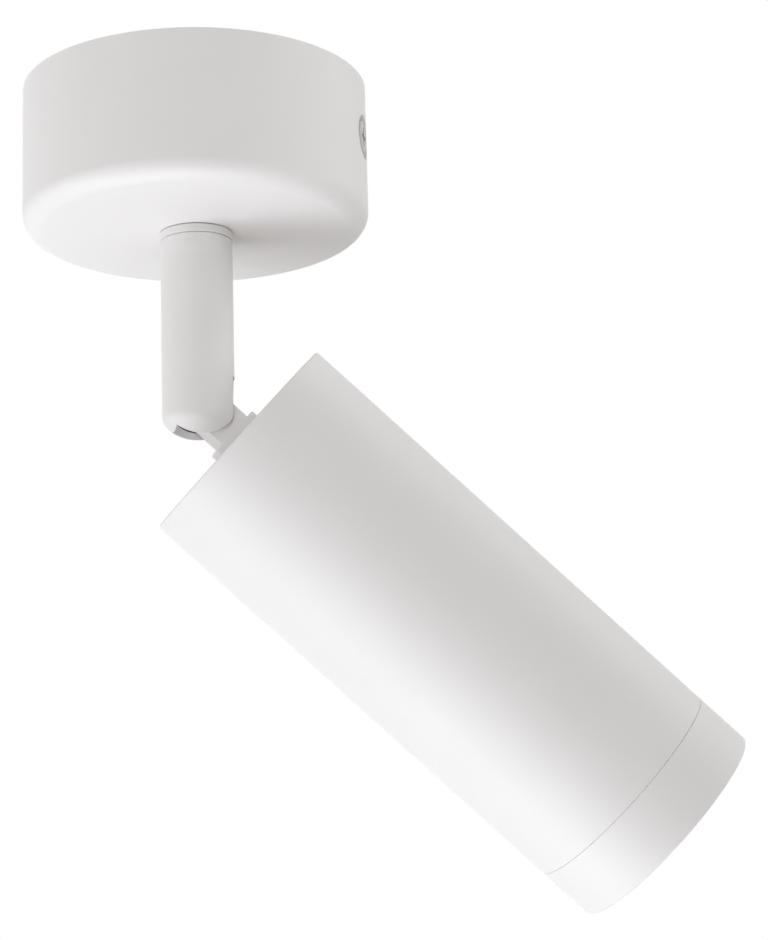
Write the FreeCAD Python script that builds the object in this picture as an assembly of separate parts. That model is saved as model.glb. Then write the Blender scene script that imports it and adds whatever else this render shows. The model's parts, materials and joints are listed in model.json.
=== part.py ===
import FreeCAD
import Part
import math
import os

# Surface-mounted ceiling spotlight with a swivelling, tilting cylinder head.
# Origin: centre of the ceiling plane. +Z up, +X along the bracket and its two side screws.
# Lengths in millimetres, angles in degrees.

# Clearances, radial unless said otherwise
running_gap = 0.08
thread_gap = 0.05
press_gap = 0.02
loose_gap = 0.3

# Ceiling canopy, a drawn cup
canopy_diameter = 81.8
canopy_height = 35.3
canopy_wall = 1.2
canopy_edge_radius = 4.5
seat_diameter = 10.8
seat_depth = 1.4
side_screw_drop = 14.6

# Side screws of the canopy
side_screw_diameter = 4.0
side_screw_length = 9.0
side_head_diameter = 8.0
side_head_height = 1.3
recess_width = 1.1
recess_depth = 0.8

# Ceiling bracket, a folded steel strap with one wing
bracket_thickness = 2.0
bracket_width = 16.0
lug_margin = 6.0
fixing_spacing = 50.0
fixing_slot_width = 5.0
fixing_slot_length = 12.0
wing_margin = 1.5
ground_screw_place = 12.0

# Terminal block under the wing
pole_count = 3
pole_pitch = 8.0
block_offset = 10.5
block_depth = 17.0
block_height = 11.0
block_end_wall = 1.0
pole_drop = 6.0
clamp_diameter = 4.2
clamp_bore = 2.6
clamp_screw_diameter = 2.4
clamp_screw_spacing = 8.0
clamp_screw_sink = 1.0
fixing_screw_diameter = 2.5
fixing_head_diameter = 4.4
fixing_head_height = 1.6

# Small screws that hold the ground tags
ground_screw_diameter = 3.0
ground_head_diameter = 5.5
ground_head_height = 1.8
tag_thickness = 0.8
tag_diameter = 7.0
tag_reach = 8.0
tag_barrel_length = 4.0

# Leads and their sleeve
lead_diameter = 1.2
sleeve_diameter = 3.2
lead_ring_radius = 0.85
lead_grip = 5.0
sleeve_rise = 1.0

# Swivel: nipple, stop and nut inside the canopy, collar under it
nipple_diameter = 10.0
nipple_bore = 5.0
nipple_engagement = 12.0
nipple_chamfer = 0.6
nipple_end = 1.5
nut_flats = 14.0
nut_height = 4.0
stop_washer_diameter = 16.0
stop_washer_thickness = 1.0
stop_tab_width = 2.6
stop_radius = 11.5
stop_stud_diameter = 2.4
stop_stud_height = 2.0
spring_thickness = 0.5
spring_height = 0.9
collar_height = 2.3
collar_lip = 0.15
seam_chamfer = 0.25

# Stem and the slotted joint at its end
stem_diameter = 17.0
stem_bore = 4.4
stem_end_drop = 8.5
stem_dome_radius = 11.2
stem_end_radius = 3.5
pivot_drop = 77.0
slot_width = 7.0
tongue_side_gap = 0.25
tongue_radius = 5.5
arm_width = 9.2
arm_edge_radius = 0.8
slot_top_gap = 1.35
pivot_diameter = 4.0
pivot_seat = 2.0
pivot_skin = 1.4
pivot_head_diameter = 6.4
pivot_head_height = 1.4
pivot_well_gap = 0.4
pivot_washer_height = 0.5

# Knuckle between the stem and the head
head_setback = 12.4
foot_width = 13.1
foot_height = 2.0
spigot_diameter = 6.0
spigot_end = 1.0
channel_width = 3.8
channel_boss = 0.9
channel_start = -60.0
channel_end = 115.0
spigot_nut_flats = 10.0
spigot_nut_height = 4.0
spigot_washer_diameter = 13.0
spigot_washer_thickness = 0.8

# Head: tube, rear plate and front ring
head_diameter = 55.0
head_length = 135.3
head_wall = 2.0
head_edge = 0.3
rear_plate_thickness = 3.0
ring_length = 14.3
ring_front_wall = 1.0
ring_spigot_length = 5.0
ring_spigot_wall = 1.2

# Lamp, its holder and the bracket that carries the holder
lamp_side_gap = 0.5
lamp_body_length = 49.4
lamp_front_gap = 0.7
lamp_neck_diameter = 23.0
lamp_neck_length = 16.0
lamp_cone_length = 24.0
lamp_rim_wall = 1.7
lens_thickness = 2.0
lens_recess = 1.0
bowl_depth = 17.0
chip_diameter = 14.0
chip_thickness = 1.6
pin_spacing = 10.0
pin_neck_diameter = 2.9
pin_head_diameter = 5.0
pin_head_length = 3.0
pin_length = 6.6
lamp_seat_gap = 0.3
twist_angle = 20.0
holder_diameter = 28.0
holder_height = 15.0
holder_face = 1.8
holder_cavity = 5.6
contact_thickness = 0.8
carrier_thickness = 1.2
carrier_width = 20.0
carrier_offset = 14.0
carrier_far_edge = 13.0
holder_screw_diameter = 3.0
holder_screw_spacing = 19.0
holder_screw_head_diameter = 5.0
holder_screw_head_height = 1.8
holder_screw_depth = 7.0
lead_slot_margin = 2.4

# Pose in which the lamp is modelled
rest_pan = 24.0
rest_tilt = 48.4

# Places that follow from the sizes above
canopy_radius = canopy_diameter / 2
canopy_bore_radius = canopy_radius - canopy_wall
canopy_floor = canopy_wall - canopy_height
seat_face = canopy_radius - seat_depth
lug_face = seat_face - canopy_wall
block_back = block_offset + block_depth
block_middle = block_offset + block_depth / 2
block_top = -bracket_thickness
block_bottom = block_top - block_height
pole_height = block_top - pole_drop
pole_places = [(i - (pole_count - 1) / 2) * pole_pitch for i in range(pole_count)]
spring_bottom = canopy_floor + stop_washer_thickness
nut_bottom = spring_bottom + spring_height
nipple_top = nut_bottom + nut_height + nipple_end
stem_top = -canopy_height - collar_height
stem_radius = stem_diameter / 2
slot_top = arm_width / 2 + slot_top_gap
slot_back = tongue_radius + loose_gap
tongue_thickness = slot_width - 2 * tongue_side_gap
sleeve_top = nipple_top + sleeve_rise
head_radius = head_diameter / 2
tube_bore_radius = head_radius - head_wall
lamp_radius = tube_bore_radius - lamp_side_gap
seam_depth = head_setback + head_length - ring_length
front_depth = head_setback + head_length
lamp_face_depth = seam_depth - ring_spigot_length - lamp_front_gap
lamp_back_depth = lamp_face_depth - lamp_body_length
holder_front_depth = lamp_back_depth - lamp_seat_gap
holder_back_depth = holder_front_depth - holder_height
carrier_back_depth = head_setback + rear_plate_thickness
carrier_front_depth = holder_back_depth - carrier_thickness
spigot_washer_depth = carrier_back_depth + carrier_thickness
spigot_nut_depth = spigot_washer_depth + spigot_washer_thickness
spigot_depth = spigot_nut_depth + spigot_nut_height + spigot_end

ORIGIN = FreeCAD.Vector(0, 0, 0)
X_AXIS = FreeCAD.Vector(1, 0, 0)
Y_AXIS = FreeCAD.Vector(0, 1, 0)
Z_AXIS = FreeCAD.Vector(0, 0, 1)


def point(x, y, z):
    return FreeCAD.Vector(x, y, z)


# Basic forms

def upright(radius, low, high, x=0.0, y=0.0):
    return Part.makeCylinder(radius, high - low, point(x, y, low))


def rod(radius, start, end):
    return Part.makeCylinder(radius, end.distanceToPoint(start), start, end - start)


def block(x, y, z):
    corner = point(x[0], y[0], z[0])
    return Part.makeBox(x[1] - x[0], y[1] - y[0], z[1] - z[0], corner)


def ring(outer, inner, low, high):
    return upright(outer, low, high).cut(upright(inner, low, high))


def turned(corners):
    outline = [point(radius, 0, height) for radius, height in corners]
    face = Part.Face(Part.makePolygon(outline + outline[:1]))
    return face.revolve(ORIGIN, Z_AXIS, 360)


def hexagon(flats, low, high):
    reach = flats / math.sqrt(3)
    turns = [math.radians(60 * i) for i in range(6)]
    corners = [point(reach * math.cos(a), reach * math.sin(a), low) for a in turns]
    return Part.Face(Part.makePolygon(corners + corners[:1])).extrude(point(0, 0, high - low))


def obround(length, width, x, low, high):
    half = (length - width) / 2
    middle = block((x - half, x + half), (-width / 2, width / 2), (low, high))
    ends = [upright(width / 2, low, high, x + side * half) for side in (-1, 1)]
    return middle.fuse(ends).removeSplitter()


def rim_edges(solid, radius, height):
    found = []
    for edge in solid.Edges:
        if not isinstance(edge.Curve, Part.Circle):
            continue
        same_radius = abs(edge.Curve.Radius - radius) < 1e-6
        same_height = abs(edge.Curve.Center.z - height) < 1e-6
        if same_radius and same_height:
            found.append(edge)
    return found


def cross_recess(radius, top):
    depth = (top - recess_depth, top + recess_depth)
    narrow = (-recess_width / 2, recess_width / 2)
    wide = (-radius, radius)
    return block(wide, narrow, depth).fuse(block(narrow, wide, depth))


def screw(shank_diameter, shank_length, head_diameter, head_height):
    """Cross-recessed screw, head up, with the underside of its head at the origin."""
    shank = upright(shank_diameter / 2, -shank_length, 0)
    head = upright(head_diameter / 2, 0, head_height)
    head = head.makeFillet(head_height / 3, rim_edges(head, head_diameter / 2, head_height))
    return shank.fuse(head).removeSplitter().cut(cross_recess(head_diameter * 0.3, head_height))


def arc_slot(radius, width, sweep, low, high):
    """Round-ended slot along an arc about Z, from the +X axis through the sweep angle."""
    inner = radius - width / 2
    outer = radius + width / 2
    end = math.radians(sweep)
    cap = math.copysign(width / 2, sweep)

    def at(reach, angle, ahead=0.0):
        x = reach * math.cos(angle) - ahead * math.sin(angle)
        y = reach * math.sin(angle) + ahead * math.cos(angle)
        return point(x, y, low)

    arcs = [Part.Arc(at(outer, 0), at(outer, end / 2), at(outer, end)),
            Part.Arc(at(outer, end), at(radius, end, cap), at(inner, end)),
            Part.Arc(at(inner, end), at(inner, end / 2), at(inner, 0)),
            Part.Arc(at(inner, 0), at(radius, 0, -cap), at(outer, 0))]
    face = Part.Face(Part.Wire([arc.toShape() for arc in arcs]))
    return face.extrude(point(0, 0, high - low))


def lead(points, diameter):
    """Round lead along straight runs joined by tangent arcs as large as the runs allow."""
    edges = []
    start = points[0]
    for before, corner, after in zip(points, points[1:], points[2:]):
        along = (corner - before).normalize()
        onward = (after - corner).normalize()
        half_turn = along.getAngle(onward) / 2
        setback = 0.45 * min(corner.distanceToPoint(before), after.distanceToPoint(corner))
        radius = setback / math.tan(half_turn)
        inward = (onward - along).normalize()
        middle = corner + inward * (radius / math.cos(half_turn) - radius)
        first = corner - along * setback
        last = corner + onward * setback
        edges.append(Part.LineSegment(start, first).toShape())
        edges.append(Part.Arc(first, middle, last).toShape())
        print("lead bend radius %.1f mm" % radius)
        start = last
    edges.append(Part.LineSegment(start, points[-1]).toShape())
    section = Part.makeCircle(diameter / 2, points[0], points[1] - points[0])
    return Part.Wire(edges).makePipeShell([Part.Wire([section])], True, False)


def lead_place(number, facing):
    """Place of one of the three leads in the sleeve, the middle one on the side faced."""
    turn = math.radians(120 * (number - 1))
    return lead_ring_radius * math.sin(turn), facing * lead_ring_radius * math.cos(turn)


# Placing: stem pieces turn with the swivel, head pieces hang from the pivot and then tilt up

def on_stem(solid):
    placed = solid.copy()
    placed.rotate(ORIGIN, Z_AXIS, rest_pan)
    return placed


def on_head(solid):
    placed = solid.copy()
    placed.rotate(ORIGIN, Y_AXIS, -rest_tilt)
    placed.rotate(ORIGIN, Z_AXIS, rest_pan)
    placed.translate(point(0, 0, -pivot_drop))
    return placed


def save(node, *solids):
    shape = solids[0] if len(solids) == 1 else Part.Compound(list(solids))
    shape.exportStep("parts/%s.step" % node)


# Pieces fixed to the ceiling

def both_sides(solid):
    """The piece and its copy on the other side of the canopy."""
    other = solid.copy()
    other.rotate(ORIGIN, Z_AXIS, 180)
    return [solid, other]


def ceiling_bracket():
    strap_reach = (-lug_face, lug_face)
    half_width = (-bracket_width / 2, bracket_width / 2)
    strap = block(strap_reach, half_width, (-bracket_thickness, 0))
    lug_bottom = -side_screw_drop - lug_margin
    lug = block((lug_face - bracket_thickness, lug_face), half_width, (lug_bottom, 0))
    wing_half = pole_count * pole_pitch / 2 + wing_margin
    wing = block((-wing_half, wing_half), (0, block_back + wing_margin), (-bracket_thickness, 0))
    body = strap.fuse(both_sides(lug) + [wing]).removeSplitter()
    bends = [e for e in body.Edges if abs(abs(e.CenterOfMass.x) - lug_face) < 1e-6 and
             abs(e.CenterOfMass.z) < 1e-6 and abs(e.CenterOfMass.y) < 1e-6]
    body = body.makeFillet(bracket_thickness * 0.9, bends)
    body = body.common(upright(canopy_bore_radius - loose_gap, lug_bottom, 0))
    slots = [obround(fixing_slot_length, fixing_slot_width, side * fixing_spacing / 2,
                     -bracket_thickness, 0) for side in (-1, 1)]
    tapped = rod(side_screw_diameter / 2 + thread_gap, point(-canopy_radius, 0, -side_screw_drop),
                 point(canopy_radius, 0, -side_screw_drop))
    block_holes = [upright(fixing_screw_diameter / 2 + thread_gap, -bracket_thickness, 0,
                           x, block_middle) for x in block_screw_places()]
    ground_hole = upright(ground_screw_diameter / 2 + thread_gap, -bracket_thickness, 0,
                          -ground_screw_place)
    return body.cut(slots + block_holes + [tapped, ground_hole])


def canopy():
    cup = upright(canopy_radius, -canopy_height, 0)
    cup = cup.makeFillet(canopy_edge_radius, rim_edges(cup, canopy_radius, -canopy_height))
    inside = upright(canopy_bore_radius, canopy_floor, canopy_wall)
    inside_radius = max(canopy_edge_radius - canopy_wall, canopy_wall / 4)
    inside = inside.makeFillet(inside_radius, rim_edges(inside, canopy_bore_radius, canopy_floor))
    cup = cup.cut(inside)
    outer = upright(canopy_radius, -canopy_height, 0)
    centre = point(seat_face, 0, -side_screw_drop)
    rim = point(canopy_diameter, 0, -side_screw_drop)
    cap = rod(seat_diameter / 2 + canopy_wall, point(lug_face, 0, -side_screw_drop), rim)
    well = rod(seat_diameter / 2, centre, rim)
    hole = rod(side_screw_diameter / 2 + loose_gap, ORIGIN - Z_AXIS * side_screw_drop, rim)
    cup = cup.fuse([dish.common(outer) for dish in both_sides(cap)])
    nipple_hole = upright(nipple_diameter / 2 + running_gap, -canopy_height, canopy_floor)
    return cup.cut(both_sides(well) + both_sides(hole) + [nipple_hole]).removeSplitter()


def canopy_screws():
    one = screw(side_screw_diameter, side_screw_length, side_head_diameter, side_head_height)
    one.rotate(ORIGIN, Y_AXIS, 90)
    one.translate(point(seat_face, 0, -side_screw_drop))
    return both_sides(one)


def block_screw_places():
    gaps = zip(pole_places, pole_places[1:])
    return [(left + right) / 2 for left, right in gaps]


def along_block(radius, x, start, end):
    return rod(radius, point(x, start, pole_height), point(x, end, pole_height))


def clamp_screw_places():
    return [(x, block_middle + side * clamp_screw_spacing / 2)
            for x in pole_places for side in (-1, 1)]


def terminal_block():
    half = pole_count * pole_pitch / 2
    body = block((-half, half), (block_offset, block_back), (block_bottom, block_top))
    corners = [e for e in body.Edges if abs(e.Length - block_height) < 1e-6]
    body = body.makeFillet(block_end_wall, corners)
    cuts = []
    for x in pole_places:
        inner = block_offset + block_end_wall
        cuts.append(along_block(clamp_diameter / 2, x, inner, block_back - block_end_wall))
        cuts.append(along_block(clamp_bore / 2, x, block_offset, block_back))
    for x, y in clamp_screw_places():
        cuts.append(upright(clamp_screw_diameter / 2 + loose_gap, block_bottom, pole_height, x, y))
    for x in block_screw_places():
        cuts.append(upright(fixing_screw_diameter / 2 + loose_gap, block_bottom, block_top,
                            x, block_middle))
        cuts.append(upright(fixing_head_diameter / 2 + loose_gap, block_bottom,
                            block_bottom + fixing_head_height, x, block_middle))
    return body.cut(cuts)


def terminal_clamps():
    start = block_offset + block_end_wall + press_gap
    end = block_back - block_end_wall - press_gap
    wells = [upright(clamp_screw_diameter / 2 + thread_gap, block_bottom, pole_height, x, y)
             for x, y in clamp_screw_places()]
    clamps = []
    for x in pole_places:
        shell = along_block(clamp_diameter / 2 - press_gap, x, start, end)
        clamps.append(shell.cut([along_block(clamp_bore / 2, x, start, end)] + wells))
    return clamps


def terminal_screws():
    tip = pole_height - lead_diameter / 2
    low = block_bottom + clamp_screw_sink
    screws = []
    for x, y in clamp_screw_places():
        shank = upright(clamp_screw_diameter / 2, low, tip, x, y)
        driver_slot = block((x - clamp_screw_diameter, x + clamp_screw_diameter),
                            (y - clamp_screw_diameter / 8, y + clamp_screw_diameter / 8),
                            (low, low + clamp_screw_sink))
        screws.append(shank.cut(driver_slot))
    return screws


def terminal_fixing_screws():
    length = block_height - fixing_head_height + bracket_thickness
    screws = []
    for x in block_screw_places():
        one = screw(fixing_screw_diameter, length, fixing_head_diameter, fixing_head_height)
        one.rotate(ORIGIN, X_AXIS, 180)
        one.translate(point(x, block_middle, block_bottom + fixing_head_height))
        screws.append(one)
    return screws


def canopy_lead(number):
    """Lead from its clamp in the terminal block down into the mouth of the nipple."""
    clamp = pole_places[number]
    x, y = lead_place(number, 1)
    grip = point(clamp, block_offset + lead_grip, pole_height)
    end = point(x, y, sleeve_top)
    above = point(x, y, pole_height)
    if abs(clamp) < pole_pitch / 2:
        return lead([grip, above, end], lead_diameter)
    bend = point(clamp, block_offset - lead_grip / 2, pole_height)
    return lead([grip, bend, above, end], lead_diameter)


def ground_tag():
    """Ring tag with its barrel, flat on z = 0 and reaching along +Y."""
    plate = upright(tag_diameter / 2, 0, tag_thickness)
    neck = block((-lead_diameter, lead_diameter), (0, tag_reach), (0, tag_thickness))
    height = tag_thickness + lead_diameter / 2
    outer = rod(lead_diameter / 2 + tag_thickness, point(0, tag_reach - tag_barrel_length, height),
                point(0, tag_reach, height))
    bore = rod(lead_diameter / 2 + press_gap, point(0, tag_reach - tag_barrel_length, height),
               point(0, tag_reach, height))
    hole = upright(ground_screw_diameter / 2 + running_gap, 0, tag_thickness)
    above = block((-tag_diameter, tag_diameter), (-tag_diameter, 2 * tag_reach),
                  (0, tag_diameter))
    return plate.fuse([neck, outer.common(above)]).removeSplitter().cut([bore, hole])


def bracket_ground():
    """Spare ground screw and tag under the strap, for the supply's earth conductor."""
    tag = ground_tag()
    tag.rotate(ORIGIN, X_AXIS, 180)
    tag.translate(point(-ground_screw_place, 0, -bracket_thickness))
    fixing = screw(ground_screw_diameter, bracket_thickness + tag_thickness,
                   ground_head_diameter, ground_head_height)
    fixing.rotate(ORIGIN, X_AXIS, 180)
    fixing.translate(point(-ground_screw_place, 0, -bracket_thickness - tag_thickness))
    return tag, fixing


def stem_collar():
    radius = stem_radius + collar_lip
    body = ring(radius, nipple_diameter / 2 + running_gap, stem_top, -canopy_height)
    edges = rim_edges(body, radius, stem_top) + rim_edges(body, radius, -canopy_height)
    return body.makeChamfer(seam_chamfer, edges)


def stop_stud():
    stud = upright(stop_stud_diameter / 2, canopy_floor, canopy_floor + stop_stud_height,
                   -stop_radius)
    return on_stem(stud)


# Pieces that swivel with the stem

def stem():
    body = upright(stem_radius, -pivot_drop, stem_top)
    body = body.makeChamfer(seam_chamfer, rim_edges(body, stem_radius, stem_top))
    body = body.fuse(stem_end()).removeSplitter()
    nipple_hole = upright(nipple_diameter / 2 + thread_gap, stem_top - nipple_engagement, stem_top)
    wire_hole = upright(stem_bore / 2, -pivot_drop, stem_top)
    return body.cut([nipple_hole, wire_hole, stem_slot()] + pivot_holes())


def stem_end():
    """Domed end of the stem, with a rounded corner between the dome and the wall."""
    dome_centre = stem_dome_radius - stem_end_drop - pivot_drop
    corner_arm = stem_dome_radius - stem_end_radius
    corner_place = stem_radius - stem_end_radius
    lean = math.asin(corner_place / corner_arm)
    corner_centre = dome_centre - corner_arm * math.cos(lean)
    dome = arc_below(0, dome_centre, stem_dome_radius, 0, lean)
    corner = arc_below(corner_place, corner_centre, stem_end_radius, lean, math.pi / 2)
    wall = Part.makePolygon([point(stem_radius, 0, corner_centre), point(stem_radius, 0, -pivot_drop),
                             point(0, 0, -pivot_drop), point(0, 0, dome_centre - stem_dome_radius)])
    profile = Part.Face(Part.Wire([dome, corner] + wall.Edges))
    return profile.revolve(ORIGIN, Z_AXIS, 360)


def arc_below(x, z, radius, start, end):
    """Arc in the XZ plane round a centre, by its angles in radians from straight down."""
    places = [point(x + radius * math.sin(a), 0, z - radius * math.cos(a))
              for a in (start, (start + end) / 2, end)]
    return Part.Arc(*places).toShape()


def stem_slot():
    """Slot for the tongue: round inside, open below and up one side."""
    half = (-slot_width / 2, slot_width / 2)
    bottom = -pivot_drop - stem_diameter
    round_part = rod(slot_back, point(0, half[0], -pivot_drop), point(0, half[1], -pivot_drop))
    lower = block((-slot_back, stem_diameter), half, (bottom, -pivot_drop))
    side = block((0, stem_diameter), half, (bottom, slot_top - pivot_drop))
    return round_part.fuse([lower, side]).removeSplitter()


def across_pivot(radius, start, end):
    return rod(radius, point(0, start, -pivot_drop), point(0, end, -pivot_drop))


def pivot_holes():
    seat = slot_width / 2 + pivot_seat
    clear = across_pivot(pivot_diameter / 2 + running_gap, 0, stem_diameter)
    well = across_pivot(pivot_head_diameter / 2 + pivot_well_gap, seat, stem_diameter)
    tapped = across_pivot(pivot_diameter / 2 + thread_gap, pivot_skin - stem_radius, 0)
    return [clear, well, tapped]


def threaded_nipple():
    low = stem_top - nipple_engagement
    body = ring(nipple_diameter / 2, nipple_bore / 2, low, nipple_top)
    ends = rim_edges(body, nipple_diameter / 2, low) + rim_edges(body, nipple_diameter / 2, nipple_top)
    return body.makeChamfer(nipple_chamfer, ends)


def stop_washer():
    body = upright(stop_washer_diameter / 2, canopy_floor, spring_bottom)
    tab = block((0, stop_radius + stop_stud_diameter / 2),
                (-stop_tab_width / 2, stop_tab_width / 2), (canopy_floor, spring_bottom))
    hole = upright(nipple_diameter / 2 + thread_gap, canopy_floor, spring_bottom)
    return body.fuse(tab).removeSplitter().cut(hole)


def pan_spring_washer():
    inner = nipple_diameter / 2 + running_gap
    outer = nut_flats / 2
    return turned([(inner, nut_bottom), (inner, nut_bottom - spring_thickness),
                   (outer, spring_bottom), (outer, spring_bottom + spring_thickness)])


def pan_nut():
    body = hexagon(nut_flats, nut_bottom, nut_bottom + nut_height)
    hole = upright(nipple_diameter / 2 + thread_gap, nut_bottom, nut_bottom + nut_height)
    return body.cut(hole)


def pivot_screw():
    length = 2 * pivot_seat + slot_width + pivot_washer_height - loose_gap
    one = screw(pivot_diameter, length, pivot_head_diameter, pivot_head_height)
    one.rotate(ORIGIN, X_AXIS, -90)
    seat = slot_width / 2 + pivot_seat + pivot_washer_height
    one.translate(point(0, seat, -pivot_drop))
    return one


def pivot_washer():
    inner = pivot_diameter / 2 + running_gap
    outer = pivot_head_diameter / 2
    low = slot_width / 2 + pivot_seat
    high = low + pivot_washer_height
    middle = (low + high) / 2
    body = turned([(inner, high), (inner, middle), (outer, low), (outer, middle)])
    body.rotate(ORIGIN, X_AXIS, -90)
    body.translate(point(0, 0, -pivot_drop))
    return body


def stem_sleeve():
    low = -pivot_drop + slot_back + loose_gap
    return upright(sleeve_diameter / 2, low, sleeve_top - loose_gap)


# Pieces that tilt with the head, drawn hanging straight down from the pivot

def knuckle():
    half = tongue_thickness / 2
    tongue = rod(tongue_radius, point(0, -half, 0), point(0, half, 0))
    arm_end = foot_height - head_setback
    arm = block((-arm_width / 2, arm_width / 2), (-half, half), (arm_end, 0))
    long_edges = [e for e in arm.Edges if abs(e.Length + arm_end) < 1e-6]
    arm = arm.makeFillet(arm_edge_radius, long_edges)
    foot = block((-foot_width / 2, foot_width / 2), (-half, half), (-head_setback, arm_end))
    short_edges = [e for e in foot.Edges if abs(e.Length - foot_height) < 1e-6]
    foot = foot.makeFillet(arm_edge_radius, short_edges)
    spigot = upright(spigot_diameter / 2, -spigot_depth, -head_setback)
    body = tongue.fuse([arm, foot, spigot]).removeSplitter()
    pivot_bore = rod(pivot_diameter / 2 + running_gap, point(0, -half, 0), point(0, half, 0))
    wire_bore = upright(channel_width / 2, -spigot_depth, -pivot_diameter / 2 - channel_boss)
    return body.cut([pivot_bore, wire_bore, lead_channel()])


def lead_channel():
    """Curved groove round the pivot's boss, through which the leads reach the arm."""
    boss = pivot_diameter / 2 + channel_boss
    groove = ring(stem_diameter, boss, -channel_width / 2, channel_width / 2)
    wedge = Part.makeCylinder(stem_diameter, channel_width, point(0, 0, -channel_width / 2),
                              Z_AXIS, channel_end - channel_start)
    wedge.rotate(ORIGIN, Z_AXIS, channel_start)
    groove = groove.common(wedge)
    groove.rotate(ORIGIN, X_AXIS, 90)
    reach = block((-stem_diameter, tongue_radius), (-slot_width, slot_width),
                  (-tongue_radius, tongue_radius))
    return groove.common(reach)


def knuckle_washer():
    return ring(spigot_washer_diameter / 2, spigot_diameter / 2 + running_gap,
                -spigot_nut_depth, -spigot_washer_depth)


def knuckle_nut():
    low = -spigot_nut_depth - spigot_nut_height
    body = hexagon(spigot_nut_flats, low, -spigot_nut_depth)
    return body.cut(upright(spigot_diameter / 2 + thread_gap, low, -spigot_nut_depth))


def rear_plate():
    body = ring(tube_bore_radius - press_gap, spigot_diameter / 2 + running_gap,
                -carrier_back_depth, -head_setback)
    outer = rim_edges(body, tube_bore_radius - press_gap, -head_setback)
    return body.makeChamfer(head_edge, outer)


def head_tube():
    body = ring(head_radius, tube_bore_radius, -seam_depth, -head_setback)
    body = body.makeChamfer(seam_chamfer, rim_edges(body, head_radius, -seam_depth))
    return body.makeChamfer(head_edge, rim_edges(body, head_radius, -head_setback))


def front_ring():
    spigot_outer = tube_bore_radius - running_gap
    spigot_inner = spigot_outer - ring_spigot_wall
    mouth = head_radius - ring_front_wall
    spigot_back = ring_spigot_length - seam_depth
    return turned([(spigot_inner, spigot_back), (spigot_outer, spigot_back),
                   (spigot_outer, -seam_depth), (head_radius - seam_chamfer, -seam_depth),
                   (head_radius, -seam_depth - seam_chamfer), (head_radius, head_edge - front_depth),
                   (head_radius - head_edge, -front_depth), (mouth, -front_depth),
                   (spigot_inner, -seam_depth)])


def holder_carrier():
    """Folded strip from the rear plate, along the tube, to a tab across the tube."""
    half = (-carrier_width / 2, carrier_width / 2)
    leg = (-carrier_offset, carrier_thickness - carrier_offset)
    base = block(half, (-carrier_offset, carrier_far_edge),
                 (-carrier_back_depth - carrier_thickness, -carrier_back_depth))
    side = block(half, leg, (-holder_back_depth, -carrier_back_depth))
    tab = block(half, (-carrier_offset, carrier_far_edge), (-holder_back_depth, -carrier_front_depth))
    body = base.fuse([side, tab]).removeSplitter()
    spigot_hole = upright(spigot_diameter / 2 + running_gap,
                          -carrier_back_depth - carrier_thickness, -carrier_back_depth)
    lead_slot = obround(pin_spacing + 2 * lead_slot_margin, 2 * lead_slot_margin, 0,
                        -holder_back_depth, -carrier_front_depth)
    screw_holes = [upright(holder_screw_diameter / 2 + thread_gap, -holder_back_depth,
                           -carrier_front_depth, 0, side_y) for side_y in holder_screw_places()]
    ground_hole = rod(ground_screw_diameter / 2 + thread_gap,
                      point(0, -carrier_offset, -ground_depth()),
                      point(0, carrier_thickness - carrier_offset, -ground_depth()))
    return body.cut([spigot_hole, lead_slot, ground_hole] + screw_holes)


def holder_screw_places():
    return [side * holder_screw_spacing / 2 for side in (-1, 1)]


def ground_depth():
    return carrier_front_depth - tag_diameter


def opposite_pair(solid):
    """The piece and its copy turned half a turn about the head's axis."""
    other = solid.copy()
    other.rotate(ORIGIN, Z_AXIS, 180)
    return [solid, other]


def lampholder():
    front = -holder_front_depth
    back = -holder_back_depth
    body = upright(holder_diameter / 2, front, back)
    body = body.makeFillet(holder_face / 2, rim_edges(body, holder_diameter / 2, front))
    radius = pin_spacing / 2
    cavity_front = front + holder_face
    cavity_back = cavity_front + holder_cavity
    cavity = arc_slot(radius, pin_head_diameter + 2 * loose_gap, -twist_angle,
                      cavity_front, cavity_back)
    neck = arc_slot(radius, pin_neck_diameter + 2 * loose_gap, -twist_angle, front, cavity_front)
    turn = math.radians(-twist_angle)
    entry = upright(pin_head_diameter / 2 + loose_gap / 2, front, cavity_front,
                    radius * math.cos(turn), radius * math.sin(turn))
    lead_hole = upright(lead_diameter / 2 + running_gap, cavity_back, back, radius)
    cuts = []
    for cut in (cavity, neck, entry, lead_hole):
        cuts += opposite_pair(cut)
    cuts += [upright(holder_screw_diameter / 2 + running_gap, front, back, 0, y)
             for y in holder_screw_places()]
    head_low = back - holder_screw_depth - holder_screw_head_height
    cuts += [upright(holder_screw_head_diameter / 2 + loose_gap, front, head_low + holder_screw_head_height,
                     0, y) for y in holder_screw_places()]
    return body.cut(cuts)


def lampholder_contacts():
    radius = pin_spacing / 2
    back = -holder_front_depth + holder_face + holder_cavity
    disc = upright(pin_head_diameter / 2, back - contact_thickness, back, radius)
    return opposite_pair(disc)


def holder_screws():
    screws = []
    for y in holder_screw_places():
        one = screw(holder_screw_diameter, holder_screw_depth + carrier_thickness,
                    holder_screw_head_diameter, holder_screw_head_height)
        one.rotate(ORIGIN, X_AXIS, 180)
        one.translate(point(0, y, -holder_back_depth - holder_screw_depth))
        screws.append(one)
    return screws


def head_sleeve():
    return upright(sleeve_diameter / 2, -spigot_depth - sleeve_rise, -tongue_radius)


def head_lead(number, side):
    """Lead from the sleeve's end to the back of the lampholder."""
    x, y = lead_place(number, -1)
    target = side * pin_spacing / 2
    start = -spigot_depth - sleeve_rise
    end = lead_diameter / 8 + holder_face + holder_cavity - holder_front_depth
    third = (end - start) / 3
    return lead([point(x, y, start), point(x, y, start + third),
                 point(target, 0, start + 2 * third), point(target, 0, end)], lead_diameter)


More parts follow.
